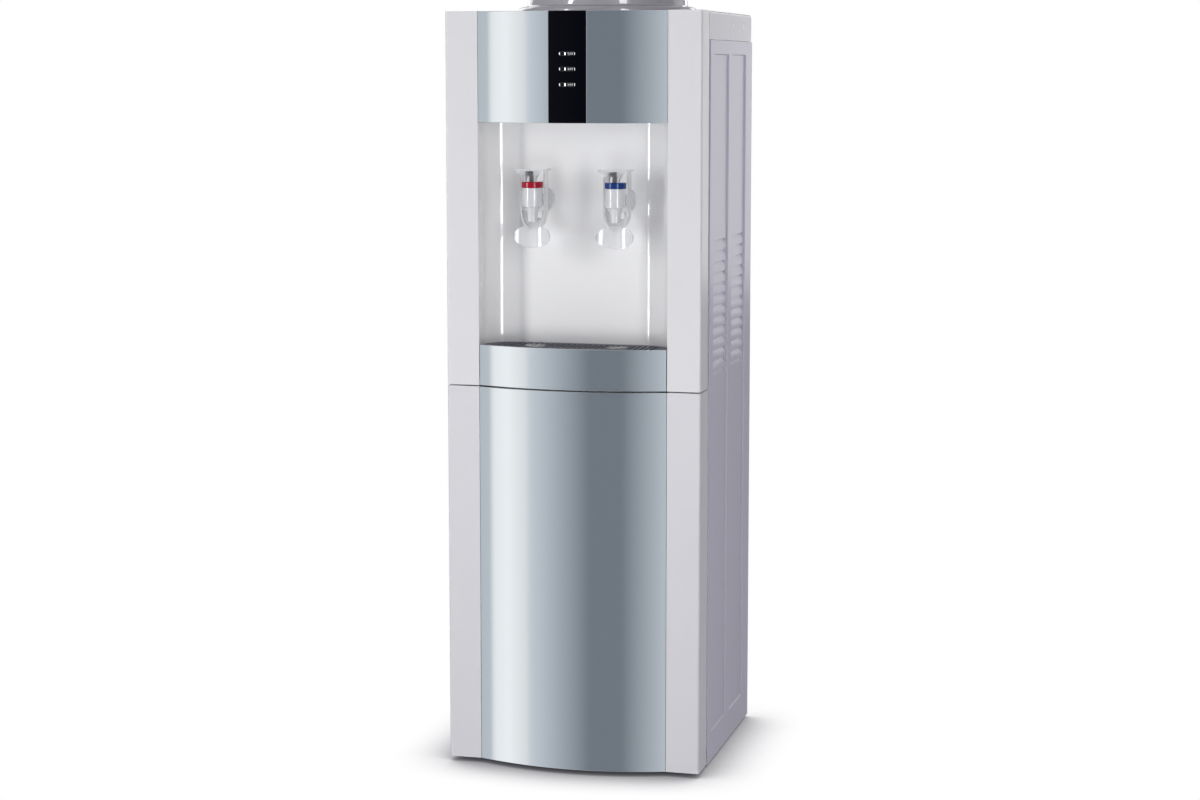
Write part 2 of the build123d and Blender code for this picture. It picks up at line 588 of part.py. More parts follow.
with BuildPart() as base_plate:
    slab(-158, 158, -89, 158, 5.5, 7.5)
    slab(-158, -156.5, -89, 158, 7.5, 22)
    slab(156.5, 158, -89, 158, 7.5, 22)
    slab(-156.5, 156.5, 156.5, 158, 7.5, 22)
    slab(-156.5, 156.5, -89, -87.5, 7.5, 22)
keep(base_plate, "base_plate")

with BuildPart() as feet:
    for x in (-120, 120):
        for y in (-70, 138):
            revolve(lathe_face([(0, 0), (12.5, 0), (14, 1.5), (14, 5.5), (0, 5.5)], x, y), axis=upright(x, y))
keep(feet, "feet")

CX, CY = 40.0, 84.0
with BuildPart() as compressor:
    revolve(lathe_face([(0, 25), (46, 25), (51, 31), (52, 40), (52, 88), (53.5, 90), (53.5, 94), (52, 96), (52, 132), (49, 148), (42, 159),
                        (34, 165), (0, 165)], CX, CY), axis=upright(CX, CY))
    slab(CX - 64, CX + 64, CY - 40, CY + 40, 22, 25.5)
    rod(60, 100, 164, 172, 3.2)
    rod(20, 94, 164, 172, 3.2)
keep(compressor, "compressor")

with BuildPart() as compressor_mounts:
    for x in (CX - 56, CX + 56):
        for y in (CY - 32, CY + 32):
            revolve(lathe_face([(0, 7.5), (10, 7.5), (10, 12), (7, 14), (7, 16), (9, 18), (9, 22), (0, 22)], x, y), axis=upright(x, y))
keep(compressor_mounts, "compressor_mounts")

with BuildPart() as compressor_relay:
    slab(CX + 53.7, CX + 72, CY - 18, CY + 18, 70, 118)
keep(compressor_relay, "compressor_relay")

rows = []
for i in range(13):
    z = 465 - 20 * i
    rows += [(-128, 151, z), (128, 151, z)] if i % 2 else [(128, 151, z), (-128, 151, z)]
cond_points = [(144, 151, 200), (144, 151, 465)] + rows[1:]
with BuildPart() as condenser:
    add(tube_solid(cond_points, 9.3, 2.5))
    for i in range(13):
        rod(-120 + 20 * i, 154.4, 218, 472, 0.8)
keep(condenser, "condenser")

with BuildPart() as filter_dryer:
    revolve(lathe_face([(0, 70), (2.6, 70), (3, 78), (8, 84), (8, 138), (3, 144), (2.6, 150), (0, 150)], -60, 110), axis=upright(-60, 110))
keep(filter_dryer, "filter_dryer")

# suction, discharge, liquid and capillary lines
with BuildPart() as refrigerant_lines:
    add(tube_solid([(0, 99.3, 860.1), (0, 99.3, 876), (12, 126, 876), (12, 126, 194), (60, 100, 194), (60, 100, 172.1)], [7, 9, 12, 9], 2.8))
    add(tube_solid([(20, 94, 172.1), (20, 94, 183), (20, 151, 183), (144, 151, 183), (144, 151, 199.9)], [4.8, 10, 7], 2.4))
    add(tube_solid([(-128.1, 151, 225), (-146, 151, 225), (-146, 151, 166), (-60, 110, 166), (-60, 110, 150.1)], [7, 12, 6.5], 2.4))
    add(tube_solid([(-60, 110, 69.9), (-60, 110, 54), (-112, 126, 54), (-112, 126, 892), (-20, 96.34, 892), (-20, 96.34, 860.1)], [6, 8, 12, 7], 1.2))
keep(refrigerant_lines, "refrigerant_lines")

# ---------------------------------------------------------------- rear
SWZ = 860.0
SCREWS = [(sx * 151, z) for sx in (-1, 1) for z in (225, 450, 675, 890)]
with BuildPart() as back_panel:
    slab(-159.4, 159.4, 134, 135, 200, 905)
    slab(-159.4, -158.4, 135, 150, 200, 905)
    slab(158.4, 159.4, 135, 150, 200, 905)
    rod_y(0, 500, 130, 140, 7.3, SUB)
    rod_y(110, 520, 130, 140, 8.3, SUB)
    slab(-95.4, -44.6, 130, 140, SWZ - 18.4, SWZ + 18.4, SUB)
    for x in (-110, 110):
        for z in (245, 445):
            slab(x - 8, x + 8, 134.8, 148.45, z - 7, z + 7)
    for x, z in SCREWS:
        rod_y(x, z, 130, 140, 1.8, SUB)
    with BuildSketch(front_plane(0, 140)):
        with Locations((0, 740)):
            with GridLocations(78, 14, 3, 10):
                SlotOverall(60, 4.5)
    extrude(amount=10, mode=SUB)
keep(back_panel, "back_panel")

with BuildPart() as back_panel_screws:
    for x, z in SCREWS:
        rod_y(x, z, 126, 135.2, 1.7)
        rod_y(x, z, 135.05, 137, 3.6)
keep(back_panel_screws, "back_panel_screws")

with BuildPart() as mains_gland:
    rod_y(110, 520, 128, 136, 8.1)
    rod_y(110, 520, 135.1, 138.5, 12.0)
    rod_y(110, 520, 138, 149, 8.6)
    rod_y(110, 520, 127, 150, 3.6, SUB)
keep(mains_gland, "mains_gland")

with BuildPart() as switch_housing:
    slab(-95, -45, 112, 135.5, SWZ - 18, SWZ + 18)
    slab(-98.5, -41.5, 135.1, 137.2, SWZ - 21, SWZ + 21)
    for x in (-82, -58):
        slab(x - 8.4, x + 8.4, 118, 140, SWZ - 13.2, SWZ + 13.2, SUB)
        rod_x(131, SWZ, x - 10.2, x + 10.2, 1.55, SUB)
keep(switch_housing, "switch_housing")

TILT = math.radians(8)
for name, x in (("hot_switch_rocker", -82), ("cold_switch_rocker", -58)):
    shape = [(-11.8, 2), (-11.8, 7.2), (0, 5.4), (11.8, 7.2), (11.8, 2), (4, -4), (-4, -4)]
    shape = [(131 + q * math.cos(TILT) - p * math.sin(TILT), SWZ + p * math.cos(TILT) + q * math.sin(TILT)) for p, q in shape]
    with BuildPart() as rocker:
        with BuildSketch(Plane.YZ.offset(x - 8)):
            with BuildLine():
                Polyline(*shape, close=True)
            make_face()
        extrude(amount=16)
        rod_x(131, SWZ, x - 9.8, x + 9.8, 1.5)
    keep(rocker, name)
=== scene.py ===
import math

import bmesh
import bpy
from mathutils import Matrix, Vector


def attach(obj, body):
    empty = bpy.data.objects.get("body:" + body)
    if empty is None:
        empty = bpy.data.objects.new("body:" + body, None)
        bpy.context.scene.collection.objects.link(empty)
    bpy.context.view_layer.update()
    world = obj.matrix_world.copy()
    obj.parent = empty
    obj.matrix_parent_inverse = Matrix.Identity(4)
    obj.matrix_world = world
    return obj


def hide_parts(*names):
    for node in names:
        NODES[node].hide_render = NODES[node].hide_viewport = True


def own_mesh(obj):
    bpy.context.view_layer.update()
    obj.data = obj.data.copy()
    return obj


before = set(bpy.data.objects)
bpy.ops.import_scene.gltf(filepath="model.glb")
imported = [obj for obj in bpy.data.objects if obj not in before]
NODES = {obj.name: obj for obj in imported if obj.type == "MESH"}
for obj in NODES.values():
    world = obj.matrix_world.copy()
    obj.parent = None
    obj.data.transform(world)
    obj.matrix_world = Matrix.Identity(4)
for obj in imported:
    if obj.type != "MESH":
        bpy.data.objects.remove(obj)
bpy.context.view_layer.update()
MM = 0.001

# ---------------------------------------------------------------- camera
SHIFT_Y = -0.035
cam_data = bpy.data.cameras.new("camera")
cam = bpy.data.objects.new("camera", cam_data)
bpy.context.scene.collection.objects.link(cam)
cam_data.lens = 72.317
cam_data.sensor_width = 36.0
cam_data.shift_y = SHIFT_Y
cam_data.clip_start, cam_data.clip_end = 0.05, 60.0
cam.location = (0.7923 - 0.00575, -2.9465 - 0.02667, 0.902 - 0.03362)
YAW, PITCH = math.radians(14.858), math.radians(6.7707)
look = Vector((-math.sin(YAW) * math.cos(PITCH), math.cos(YAW) * math.cos(PITCH), -math.sin(PITCH)))
cam.rotation_mode = "QUATERNION"
cam.rotation_quaternion = look.to_track_quat("-Z", "Y")
bpy.context.scene.camera = cam
bpy.context.scene.view_settings.view_transform = "Standard"
bpy.context.scene.view_settings.look = "None"


# ---------------------------------------------------------------- materials
class Mat:
    """One node material. Object coordinates are metres in the shared frame."""

    def __init__(self, name, **sockets):
        self.m = bpy.data.materials.new(name)
        self.m.use_nodes = True
        self.t = self.m.node_tree
        self.b = self.t.nodes["Principled BSDF"]
        for k, v in sockets.items():
            self.set(k.replace("_", " "), v)
        self.coord = self.t.nodes.new("ShaderNodeTexCoord")

    def set(self, name, value):
        s = self.b.inputs[name]
        s.default_value = (*value, 1.0) if s.type == "RGBA" else value

    def link(self, a, b):
        self.t.links.new(a, b)

    def noise(self, scale, detail=3.0, rough=0.5, stretch=(1, 1, 1)):
        mp = self.t.nodes.new("ShaderNodeMapping")
        mp.inputs["Scale"].default_value = stretch
        n = self.t.nodes.new("ShaderNodeTexNoise")
        n.inputs["Scale"].default_value = scale
        n.inputs["Detail"].default_value = detail
        n.inputs["Roughness"].default_value = rough
        self.link(self.coord.outputs["Object"], mp.inputs["Vector"])
        self.link(mp.outputs["Vector"], n.inputs["Vector"])
        return n.outputs["Fac"]

    def voronoi(self, scale, feature="F1"):
        n = self.t.nodes.new("ShaderNodeTexVoronoi")
        n.feature = feature
        n.inputs["Scale"].default_value = scale
        self.link(self.coord.outputs["Object"], n.inputs["Vector"])
        return n

    def ramp(self, src, a, b, lo=0.0, hi=1.0):
        r = self.t.nodes.new("ShaderNodeMapRange")
        r.inputs["From Min"].default_value = lo
        r.inputs["From Max"].default_value = hi
        r.inputs["To Min"].default_value = a
        r.inputs["To Max"].default_value = b
        self.link(src, r.inputs["Value"])
        return r.outputs["Result"]

    def mix(self, fac, c1, c2):
        n = self.t.nodes.new("ShaderNodeMix")
        n.data_type = "RGBA"
        for i, c in ((6, c1), (7, c2)):
            if isinstance(c, tuple):
                n.inputs[i].default_value = (*c, 1.0)
            else:
                self.link(c, n.inputs[i])
        if isinstance(fac, float):
            n.inputs[0].default_value = fac
        else:
            self.link(fac, n.inputs[0])
        return n.outputs[2]

    def colour(self, c1, c2, scale=7.0, lo=0.35, hi=0.65, detail=3.0, stretch=(1, 1, 1)):
        out = self.mix(self.ramp(self.noise(scale, detail, stretch=stretch), 0.0, 1.0, lo, hi), c1, c2)
        self.link(out, self.b.inputs["Base Color"])
        return out

    def rough(self, a, b, scale=60.0, detail=4.0, stretch=(1, 1, 1)):
        self.link(self.ramp(self.noise(scale, detail, stretch=stretch), a, b, 0.3, 0.7), self.b.inputs["Roughness"])

    def bump(self, src, strength, distance, chain=None):
        n = self.t.nodes.new("ShaderNodeBump")
        n.inputs["Strength"].default_value = strength
        n.inputs["Distance"].default_value = distance
        self.link(src, n.inputs["Height"])
        if chain is not None:
            self.link(chain, n.inputs["Normal"])
        self.link(n.outputs["Normal"], self.b.inputs["Normal"])
        return n.outputs["Normal"]


M = {}


def plastic(slot, c1, c2, r=(0.25, 0.32), peel=0.0, grain=0.0, coat=0.0, coat_rough=0.05, ior=1.49, sss=0.0, scale=5.0):
    k = Mat("finish_" + slot, IOR=ior, Coat_Weight=coat, Coat_Roughness=coat_rough)
    k.colour(c1, c2, scale)
    k.rough(*r, scale=45.0)
    last = None
    if peel:
        last = k.bump(k.noise(120.0, 1.0), peel, 0.0004)
    if grain:
        k.bump(k.noise(2600.0, 2.0), grain, 0.00006, last)
    if sss:
        k.set("Subsurface Weight", sss)
        k.set("Subsurface Radius", (0.004, 0.004, 0.0035))
        k.set("Subsurface Scale", 0.6)
    M[slot] = k
    return k


plastic("pillar_plastic", (0.755, 0.755, 0.775), (0.765, 0.765, 0.783), (0.22, 0.24), grain=0.05)
# darker, more lavender copy of the pillar plastic for the lower door frame: painted shade, darker towards the bottom
plastic("door_plastic_painted_shade", (0.710, 0.703, 0.735), (0.720, 0.713, 0.744), (0.22, 0.24), grain=0.05)
plastic("white_plastic", (0.85, 0.85, 0.86), (0.86, 0.86, 0.868), (0.05, 0.07), coat=1.0, coat_rough=0.02, ior=1.55)
# the top cover's lavender tint is painted shade, the same bluish shade as on the side panels
plastic("cover_plastic", (0.575, 0.552, 0.625), (0.585, 0.562, 0.636), (0.24, 0.28), grain=0.06)
plastic("collar_plastic", (0.53, 0.515, 0.555), (0.54, 0.525, 0.565), (0.05, 0.07), grain=0.03, coat=1.0, coat_rough=0.03)
plastic("black_acrylic", (0.002, 0.002, 0.0065), (0.0026, 0.0026, 0.008), (0.05, 0.07), ior=1.16)
plastic("smoked_lens", (0.0025, 0.0025, 0.005), (0.0035, 0.0035, 0.007), (0.03, 0.05), ior=1.2)
plastic("dark_grey_plastic", (0.085, 0.088, 0.112), (0.098, 0.101, 0.126), (0.34, 0.40), grain=0.05, ior=1.17)
plastic("rosette_plastic", (0.55, 0.55, 0.57), (0.60, 0.60, 0.62), (0.18, 0.24), coat=0.3)
plastic("black_plastic", (0.018, 0.018, 0.019), (0.026, 0.026, 0.027), (0.38, 0.48), grain=0.15)
plastic("grey_rubber", (0.33, 0.33, 0.34), (0.38, 0.38, 0.39), (0.55, 0.68), grain=0.2)
plastic("black_rubber", (0.018, 0.018, 0.018), (0.028, 0.028, 0.028), (0.6, 0.75), grain=0.3)
plastic("rocker_red", (0.50, 0.012, 0.012), (0.56, 0.018, 0.016), (0.16, 0.22), coat=0.2)
plastic("rocker_green", (0.012, 0.30, 0.06), (0.016, 0.35, 0.075), (0.16, 0.22), coat=0.2)
plastic("tap_white", (0.66, 0.67, 0.69), (0.68, 0.69, 0.71), (0.07, 0.10), coat=0.8, coat_rough=0.03, sss=0.3)
plastic("tap_clear", (0.90, 0.91, 0.925), (0.93, 0.935, 0.95), (0.03, 0.05), coat=0.6, coat_rough=0.02, ior=1.46)
M["tap_clear"].set("Transmission Weight", 0.62)
plastic("tap_stem", (0.17, 0.175, 0.19), (0.20, 0.205, 0.22), (0.16, 0.22), grain=0.05, coat=0.4)
plastic("tap_red", (0.33, 0.0, 0.016), (0.36, 0.0, 0.02), (0.08, 0.12), coat=0.3, coat_rough=0.02, ior=1.34)
plastic("tap_blue", (0.0, 0.030, 0.17), (0.0, 0.036, 0.195), (0.08, 0.12), coat=0.3, coat_rough=0.02, ior=1.34)
plastic("silicone", (0.62, 0.62, 0.60), (0.72, 0.72, 0.70), (0.3, 0.45), sss=0.3)

# metallic silver film under a clear coat, with fine flakes
k = Mat("finish_silver_plastic", Metallic=0.95, IOR=1.5, Coat_Weight=0.3, Coat_Roughness=0.03)
flake = k.voronoi(5200.0)
sep = k.t.nodes.new("ShaderNodeSeparateColor")
k.link(flake.outputs["Color"], sep.inputs["Color"])
k.link(k.mix(sep.outputs[0], (0.600, 0.640, 0.678), (0.640, 0.680, 0.716)), k.b.inputs["Base Color"])
k.rough(0.065, 0.08, 300.0)
k.bump(k.noise(2600.0, 2.0), 0.03, 0.00002)
M["silver_plastic"] = k

k = Mat("finish_clear_plastic", Base_Color=(0.92, 0.95, 1.0), IOR=1.49, Transmission_Weight=0.9)
k.rough(0.03, 0.07, 80.0)
M["clear_plastic"] = k

# powder-coated steel with fine orange peel; its darker lavender tone is painted shade, standing in for the bluish shade
# on the side panels
k = Mat("finish_painted_steel", IOR=1.5)
k.colour((0.615, 0.575, 0.705), (0.630, 0.590, 0.720), 4.0)
k.rough(0.28, 0.31, 200.0)
n1 = k.bump(k.noise(420.0, 2.0), 0.07, 0.00012)
k.bump(k.noise(2400.0, 2.0), 0.06, 0.00004, n1)
M["painted_steel"] = k


def metal(slot, c1, c2, r=(0.25, 0.4), scale=30.0, spangle=0.0, brushed=None, bump=0.05):
    k = Mat("finish_" + slot, Metallic=1.0)
    if spangle:
        v = k.voronoi(spangle)
        sep = k.t.nodes.new("ShaderNodeSeparateColor")
        k.link(v.outputs["Color"], sep.inputs["Color"])
        k.link(k.mix(sep.outputs[0], c1, c2), k.b.inputs["Base Color"])
        k.link(k.ramp(sep.outputs[1], r[0], r[1]), k.b.inputs["Roughness"])
    else:
        k.colour(c1, c2, scale)
        k.rough(*r, scale=scale * 2, stretch=brushed or (1, 1, 1))
    k.bump(k.noise(900.0, 3.0, stretch=brushed or (1, 1, 1)), bump, 0.00006)
    M[slot] = k


metal("zinc_steel", (0.52, 0.53, 0.54), (0.66, 0.67, 0.68), (0.28, 0.45), spangle=140.0)
metal("back_steel", (0.40, 0.41, 0.42), (0.52, 0.53, 0.54), (0.35, 0.5), spangle=90.0)
metal("stainless", (0.60, 0.60, 0.59), (0.66, 0.66, 0.65), (0.2, 0.32), brushed=(1, 1, 14))
metal("copper", (0.62, 0.28, 0.16), (0.74, 0.38, 0.23), (0.22, 0.38), 60.0)
metal("screw_steel", (0.55, 0.55, 0.54), (0.68, 0.68, 0.67), (0.22, 0.34), 200.0)

k = Mat("finish_black_steel", IOR=1.5)
k.colour((0.012, 0.012, 0.013), (0.022, 0.022, 0.023), 40.0)
k.rough(0.32, 0.5, 90.0)
k.bump(k.noise(600.0, 3.0), 0.15, 0.0001)
M["black_steel"] = k

k = Mat("finish_insulation", IOR=1.4)
k.colour((0.66, 0.60, 0.42), (0.78, 0.73, 0.56), 60.0)
k.rough(0.75, 0.95, 200.0)
v = k.voronoi(420.0)
k.bump(v.outputs["Distance"], 0.5, 0.0006)
M["insulation"] = k

k = Mat("finish_circuit_board", IOR=1.5)
k.colour((0.01, 0.10, 0.045), (0.02, 0.16, 0.07), 300.0)
k.rough(0.25, 0.4, 300.0)
M["circuit_board"] = k

# ---------------------------------------------------------------- carried-over nodes
SMALL = {"indicator_lenses", "led_board", "hot_tap_spring", "cold_tap_spring", "water_hoses", "refrigerant_lines",
         "evaporator_coil", "condenser", "cold_tank", "hot_tank", "tank_baffle", "heater_band", "thermostats"}
BEVEL = {"upper_front_frame": 0.9, "door_frame": 0.9, "top_cover": 0.5, "side_panel_right": 0.35, "side_panel_left": 0.35,
         "alcove": 0.5, "bottle_collar": 0.6, "drip_grille": 0.25, "drip_tray": 0.4, "back_panel": 0.3, "door_liner": 0.5,
         "hot_tap_lever": 0.35, "cold_tap_lever": 0.35, "hot_tap_body": 0.3, "cold_tap_body": 0.3,
         "hot_tap_bonnet": 0.25, "cold_tap_bonnet": 0.25, "hot_tap_stem": 0.2, "cold_tap_stem": 0.2}


SHEETS = {"back_panel"}
# the door frame takes the darker copy of the pillar plastic, which is painted shade
OTHER = {"bottle_collar": "collar_plastic", "door_frame": "door_plastic_painted_shade", "indicator_lenses": "smoked_lens"}


def dress(node):
    o = NODES[node]
    slot = o.data.materials[0].name
    slot = OTHER.get(node, slot.split(".")[0])
    o.data.materials[0] = M[slot].m
    if node in SHEETS:
        return
    for p in o.data.polygons:
        p.use_smooth = True
    if "sharp_edge" in o.data.attributes and node not in SMALL:
        a = o.data.attributes["sharp_edge"]
        a.data.foreach_set("value", [False] * len(a.data))
    w = o.modifiers.new("weld", "WELD")
    w.merge_threshold = 0.000004
    if node in SMALL:
        return
    b = o.modifiers.new("bevel", "BEVEL")
    b.width = BEVEL.get(node, 0.3) * MM
    b.segments = 2
    b.limit_method = "ANGLE"
    b.angle_limit = math.radians(35)
    b.use_clamp_overlap = True
    n = o.modifiers.new("weighted", "WEIGHTED_NORMAL")
    n.mode = "FACE_AREA"
    n.weight = 90
    n.keep_sharp = True


for name in NODES:
    dress(name)


# ---------------------------------------------------------------- new pieces
PX, BULGE, YF, T = 119.75, 21.6, -141.7, 2.5
R_B = (PX ** 2 + BULGE ** 2) / (2 * BULGE)
YC = YF - BULGE + R_B
WINDOWS = (890.0, 871.7, 853.0)


def bow(r, x):
    return YC - math.sqrt(r * r - x * x)


def arc(r, x0, x1, n):
    """Points of the bowed front, evenly spaced in angle."""
    a0, a1 = math.asin(x0 / r), math.asin(x1 / r)
    return [(r * math.sin(a0 + (a1 - a0) * i / n), YC - r * math.cos(a0 + (a1 - a0) * i / n)) for i in range(n + 1)]


def piece(name, bm, material, body, replaces=(), bevel=0.0, segments=3, angle=35, smooth=True):
    """Turns a bmesh in millimetres into an object that rides on a body."""
    bmesh.ops.recalc_face_normals(bm, faces=bm.faces[:])
    bmesh.ops.scale(bm, vec=(MM, MM, MM), verts=bm.verts[:])
    me = bpy.data.meshes.new(name)
    bm.to_mesh(me)
    bm.free()
    for p in me.polygons:
        p.use_smooth = smooth
    o = bpy.data.objects.new(name, me)
    bpy.context.scene.collection.objects.link(o)
    me.materials.append(M[material].m)
    if bevel:
        b = o.modifiers.new("bevel", "BEVEL")
        b.width = bevel * MM
        b.segments = segments
        b.limit_method = "ANGLE"
        b.angle_limit = math.radians(angle)
        b.harden_normals = True
    elif smooth:
        me.set_sharp_from_angle(angle=math.radians(angle))
    if replaces:
        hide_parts(*replaces)
    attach(o, body)
    return o


def prism(plan, z0, z1):
    """Upright solid over a plan outline."""
    bm = bmesh.new()
    lo = [bm.verts.new((x, y, z0)) for x, y in plan]
    hi = [bm.verts.new((x, y, z1)) for x, y in plan]
    n = len(plan)
    for i in range(n):
        bm.faces.new((lo[i], lo[(i + 1) % n], hi[(i + 1) % n], hi[i]))
    bm.faces.new(lo[::-1])
    bm.faces.new(hi)
    return bm


# bowed silver panels
hw = PX - 0.35
piece("door_front", prism(arc(R_B, -hw, hw, 96) + [(hw, -132.35), (-hw, -132.35)], 6.5, 480.4),
      "silver_plastic", "door", ("door_panel",), bevel=0.7)
hw = PX - 0.3
piece("control_front",
      prism(arc(R_B, -hw, -23.55, 40) + arc(R_B - 2.2, -23.55, 23.55, 20) + arc(R_B, 23.55, hw, 40) + [(hw, -132.1), (-hw, -132.1)],
            806.8, 941.4),
      "silver_plastic", "cabinet", ("control_fascia",), bevel=0.6)
hw = 118.9
piece("tray_front", prism(arc(R_B, -hw, hw, 96) + arc(R_B - T, hw, -hw, 96), 482.1, 532.7),
      "silver_plastic", "tray", ("tray_fascia",), bevel=0.55)


def curved_plate(outer, holes, r0, r1, step):
    """Plate between two radii of the bow, given in x and z, with holes."""
    from mathutils.geometry import delaunay_2d_cdt
    pts, edges = [], []

    def loop(ps):
        s0 = len(pts)
        pts.extend(Vector(p) for p in ps)
        n = len(ps)
        edges.extend((s0 + i, s0 + (i + 1) % n) for i in range(n))

    x0, z0, x1, z1 = outer
    nx = max(4, round((x1 - x0) / step))
    nz = max(4, round((z1 - z0) / (step * 2)))
    ring = [(x0 + (x1 - x0) * i / nx, z0) for i in range(nx)] + [(x1, z0 + (z1 - z0) * i / nz) for i in range(nz)]
    ring += [(x1 - (x1 - x0) * i / nx, z1) for i in range(nx)] + [(x0, z1 - (z1 - z0) * i / nz) for i in range(nz)]
    loop(ring)

    def inside(p, h, grow=0.0):
        cx, cz, w, t = h
        k = max(abs(p[0] - cx) - (w - t) / 2, 0.0)
        return math.hypot(k, p[1] - cz) < t / 2 + grow

    for h in holes:
        cx, cz, w, t = h
        m = 10
        ps = []
        for side, a0 in ((1, -90), (-1, 90)):
            for i in range(m + 1):
                a = math.radians(a0 + 180 * i / m)
                ps.append((cx + side * (w - t) / 2 + math.cos(a) * t / 2, cz + math.sin(a) * t / 2))
            if side == 1:
                ps += [(cx + (w - t) / 2 - (w - t) * j / 8, cz + t / 2) for j in range(1, 8)]
            else:
                ps += [(cx - (w - t) / 2 + (w - t) * j / 8, cz - t / 2) for j in range(1, 8)]
        loop(ps)
    for i in range(1, nx):
        for j in range(1, nz):
            p = (x0 + (x1 - x0) * i / nx, z0 + (z1 - z0) * j / nz)
            if not any(inside(p, h, 0.35) for h in holes):
                pts.append(Vector(p))
    vs, es, fs, _, _, _ = delaunay_2d_cdt(pts, edges, [], 1, 1e-6)
    bm = bmesh.new()
    front = [bm.verts.new((v[0], bow(r0, v[0]), v[1])) for v in vs]
    back = [bm.verts.new((v[0], bow(r1, v[0]), v[1])) for v in vs]
    for f in fs:
        c = (sum(vs[i][0] for i in f) / 3, sum(vs[i][1] for i in f) / 3)
        if any(inside(c, h) for h in holes):
            continue
        bm.faces.new([front[i] for i in f])
        bm.faces.new([back[i] for i in reversed(f)])
    rim = [e for e in bm.edges if e.is_boundary]
    at = {v: i for i, v in enumerate(front)}
    for e in rim:
        if e.verts[0] in at and e.verts[1] in at:
            a, b = at[e.verts[0]], at[e.verts[1]]
            bm.faces.new((front[a], front[b], back[b], back[a]))
    loose = [v for v in bm.verts if not v.link_faces]
    bmesh.ops.delete(bm, geom=loose, context="VERTS")
    return bm


piece("dark_strip", curved_plate((-23.25, 806.8, 23.25, 941.4), [(0, z, 22.0, 4.8) for z in WINDOWS], R_B - 0.05, R_B - 2.1, 1.5),
      "black_acrylic", "cabinet", ("indicator_strip",), bevel=0.25, segments=2)

# lit marks behind the windows: an end arc each side and small bars, one of them bright
def bar(bm, x, z, w, h, y0, y1):
    """Small rounded bar facing the front."""
    ps = []
    r = min(w, h) * 0.35
    for cx, cz, a0 in ((w / 2 - r, h / 2 - r, 0), (-w / 2 + r, h / 2 - r, 90), (-w / 2 + r, -h / 2 + r, 180), (w / 2 - r, -h / 2 + r, 270)):
        for i in range(4):
            a = math.radians(a0 + 30 * i)
            ps.append((x + cx + r * math.cos(a), z + cz + r * math.sin(a)))
    f = [bm.verts.new((px, y0, pz)) for px, pz in ps]
    b = [bm.verts.new((px, y1, pz)) for px, pz in ps]
    bm.faces.new(f)
    bm.faces.new(b[::-1])
    for i in range(len(ps)):
        j = (i + 1) % len(ps)
        bm.faces.new((f[i], f[j], b[j], b[i]))


def glow(name, strength, tint):
    k = Mat(name, Base_Color=(0.5, 0.5, 0.5), Emission_Color=tint)
    k.link(k.ramp(k.noise(900.0), strength * 0.75, strength * 1.15, 0.3, 0.7), k.b.inputs["Emission Strength"])
    k.rough(0.2, 0.3)
    M[name] = k


glow("mark_bright", 1.25, (1.0, 1.0, 1.0))
glow("mark_dim", 0.075, (0.85, 0.9, 1.0))
glow("mark_half", 0.60, (0.92, 0.95, 1.0))
bm1, bm2, bm3 = bmesh.new(), bmesh.new(), bmesh.new()
for z in WINDOWS:
    bar(bm1, -2.5, z, 1.7, 3.5, -163.06, -162.9)
    bar(bm3, -9.3, z, 1.1, 3.3, -163.06, -162.9)
    bar(bm3, 9.4, z, 0.9, 3.2, -163.06, -162.9)
    for x, w in ((1.5, 1.0), (3.9, 1.2), (6.3, 1.2)):
        bar(bm2, x, z, w, 2.9, -163.06, -162.9)
for nm, bmx, mt in (("marks_bright", bm1, "mark_bright"), ("marks_half", bm3, "mark_half"), ("marks_dim", bm2, "mark_dim")):
    piece(nm, bmx, mt, "cabinet")

# light rosettes over the two drain holes of the grille
def coil(cx, cy, z, r, wire, rises, n=24, m=12):
    """Wire spring: one turn for each rise, in mm, with a closed turn at either end."""
    bm = bmesh.new()
    rings = []
    for turn, rise in enumerate(rises):
        k = rise / (2 * math.pi)
        ln = math.hypot(r, k)
        for i in range(n + (turn == len(rises) - 1)):
            a = 2 * math.pi * i / n
            c, s = math.cos(a), math.sin(a)
            up = (k * s / ln, -k * c / ln, r / ln)
            x, y, h = cx + r * c, cy + r * s, z + k * a
            ring = []
            for j in range(m):
                b = 2 * math.pi * j / m
                u, v = wire * math.cos(b), wire * math.sin(b)
                ring.append(bm.verts.new((x + u * c + v * up[0], y + u * s + v * up[1], h + v * up[2])))
            rings.append(ring)
        z += rise
    for lo, hi in zip(rings, rings[1:]):
        for j in range(m):
            bm.faces.new((lo[j], lo[(j + 1) % m], hi[(j + 1) % m], hi[j]))
    bm.faces.new(rings[0][::-1])
    bm.faces.new(rings[-1])
    return bm


# return springs inside the taps, each with its own mesh
for side, cx in (("hot", -52.6), ("cold", 52.6)):
    o = piece(side + "_tap_coil", coil(cx, -133.7, 715.15, 5.2, 0.55, (1.25, 3.6, 3.6, 3.6, 3.6, 1.25)),
              "screw_steel", "cabinet", (side + "_tap_spring",))
    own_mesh(o)

